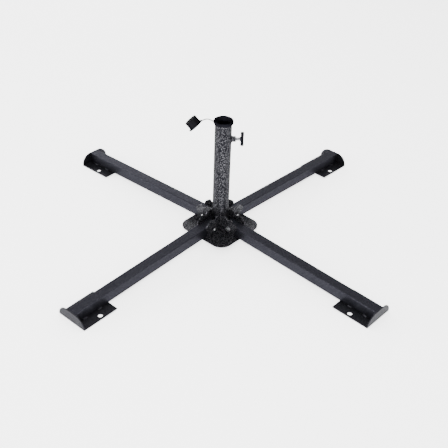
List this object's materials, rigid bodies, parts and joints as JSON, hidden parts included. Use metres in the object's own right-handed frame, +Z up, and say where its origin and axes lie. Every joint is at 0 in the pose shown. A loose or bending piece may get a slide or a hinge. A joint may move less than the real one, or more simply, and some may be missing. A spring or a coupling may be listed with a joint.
{
  "type": "folding cross parasol base",
  "caption": "Folding cross-shaped parasol base: square-tube legs with foot plates on pivot bolts, a welded hub, an upright socket tube with clamp screw and tethered cap.",
  "frame": {"origin": "on the ground under the axis of the upright tube", "axes": "+Z up along the upright tube; the legs lie along X and Y; the pictured front is the side towards +X -Y"},
  "size_m": [1.1912, 1.1912, 0.4003],
  "materials": {
    "hammertone": "black and silver hammertone paint, coarse mottle",
    "hub_paint": "dark hammertone paint, semi-gloss",
    "leg_paint": "dark grey textured paint, fine mottle",
    "foot_paint": "dark grey textured paint, fine mottle",
    "zinc": "bright zinc plate",
    "black_plastic": "moulded black plastic, satin",
    "gloss_cap": "soft moulded black plastic, glossy"
  },
  "bodies": {
    "root": {"hub_plate": "hub_paint", "upright_tube": "hammertone", "bracket_rivets": "hub_paint", "clamp_nut": "hub_paint", "tube_collar": "black_plastic", "hub_bracket_front": "hub_paint", "hub_bracket_right": "hub_paint", "hub_bracket_rear": "hub_paint", "hub_bracket_left": "hub_paint", "pivot_bolt_front_left": "zinc", "pivot_washer_front_left": "zinc", "pivot_nut_front_left": "hub_paint", "pivot_bolt_front_right": "zinc", "pivot_washer_front_right": "zinc", "pivot_nut_front_right": "hub_paint", "pivot_bolt_rear_right": "zinc", "pivot_washer_rear_right": "zinc", "pivot_nut_rear_right": "hub_paint", "pivot_bolt_rear_left": "zinc", "pivot_washer_rear_left": "zinc", "pivot_nut_rear_left": "hub_paint"},
    "leg_front_left": {"leg_front_left": "leg_paint", "foot_front_left": "foot_paint"},
    "leg_front_right": {"leg_front_right": "leg_paint", "foot_front_right": "foot_paint"},
    "leg_rear_right": {"leg_rear_right": "leg_paint", "foot_rear_right": "foot_paint"},
    "leg_rear_left": {"leg_rear_left": "leg_paint", "foot_rear_left": "foot_paint"},
    "clamp_screw": {"clamp_screw": "zinc"},
    "clamp_handle": {"clamp_handle": "black_plastic"},
    "cap_tether": {"cap_tether": "gloss_cap"},
    "socket_cap": {"socket_cap": "gloss_cap"}
  },
  "joints": [
    {"name": "fold_front_left", "type": "hinge", "parent": "root", "child": "leg_front_left", "pos_m": [0, -0.052, 0.044], "axis": [-1, 0, 0], "range_deg": [0, 92.4]},
    {"name": "fold_front_right", "type": "hinge", "parent": "root", "child": "leg_front_right", "pos_m": [0.052, 0, 0.044], "axis": [0, -1, 0], "range_deg": [0, 92.4]},
    {"name": "fold_rear_right", "type": "hinge", "parent": "root", "child": "leg_rear_right", "pos_m": [0, 0.052, 0.044], "axis": [1, 0, 0], "range_deg": [0, 92.4]},
    {"name": "fold_rear_left", "type": "hinge", "parent": "root", "child": "leg_rear_left", "pos_m": [-0.052, 0, 0.044], "axis": [0, 1, 0], "range_deg": [0, 92.4]},
    {"name": "clamp_turn", "type": "hinge", "parent": "clamp_screw", "child": "clamp_handle", "pos_m": [0.03535, 0.03535, 0.33], "axis": [-0.7071, -0.7071, 0], "range_deg": [0, 1805]},
    {"name": "clamp_travel", "type": "slide", "parent": "root", "child": "clamp_screw", "axis": [-0.7071, -0.7071, 0], "range_m": [0, 0.0075]},
    {"name": "tether_bend", "type": "hinge", "parent": "root", "child": "cap_tether", "pos_m": [-0.02263, -0.02263, 0.389], "axis": [-0.7071, 0.7071, 0], "range_deg": [-55, 35]},
    {"name": "cap_tilt", "type": "hinge", "parent": "cap_tether", "child": "socket_cap", "pos_m": [-0.04455, -0.04455, 0.389], "axis": [-0.4321, 0.9018, 0], "range_deg": [-8, 50]}
  ],
  "couplings": [
    {"joint": "clamp_turn", "follows": "clamp_travel", "rad_per_m": 4188.8}
  ]
}
